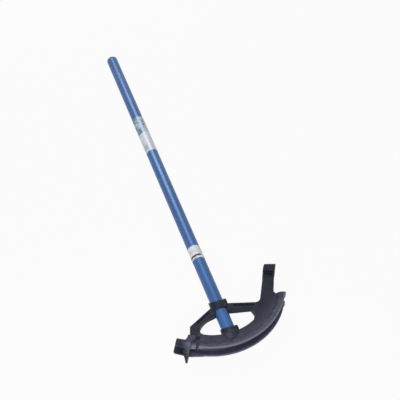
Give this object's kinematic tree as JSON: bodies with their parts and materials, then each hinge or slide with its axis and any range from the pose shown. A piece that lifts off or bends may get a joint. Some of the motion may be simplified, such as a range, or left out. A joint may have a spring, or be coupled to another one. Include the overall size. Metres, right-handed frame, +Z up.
{
  "type": "conduit bender",
  "caption": "Hand bender for thin-walled steel conduit: a cast shoe with a curved groove, hook and foot tread, on a long pipe handle held by set screws.",
  "frame": {"origin": "on the floor that the tool lies on, under the middle of its overall box", "axes": "+Z up, away from the side it lies on; +Y along the handle away from the shoe; +X towards the foot tread"},
  "size_m": [0.2546, 0.935, 0.0388],
  "materials": {
    "casting": "dark blue-grey baked coating over as-cast iron",
    "handle_paint": "glossy blue paint on steel pipe",
    "cap_plastic": "satin dark moulded plastic",
    "upper_label": null,
    "lower_label": null,
    "screw_steel": "black oxide steel"
  },
  "bodies": {
    "shoe": {"shoe_casting": "casting"},
    "handle": {"handle_tube": "handle_paint", "handle_end_cap": "cap_plastic", "upper_label": "upper_label", "lower_label": "lower_label"},
    "collar_screw": {"collar_set_screw": "screw_steel"},
    "socket_screw": {"socket_set_screw": "screw_steel"}
  },
  "joints": [
    {"name": "handle_slide", "type": "slide", "parent": "shoe", "child": "handle", "axis": [0, 1, 0], "range_m": [0, 0.09]},
    {"name": "collar_screw_turn", "type": "hinge", "parent": "shoe", "child": "collar_screw", "pos_m": [-0.003, -0.3595, 0.018], "axis": [1, 0, 0], "continuous": true},
    {"name": "socket_screw_turn", "type": "hinge", "parent": "shoe", "child": "socket_screw", "pos_m": [-0.003, -0.42426, 0.018], "axis": [1, 0, 0], "continuous": true}
  ]
}
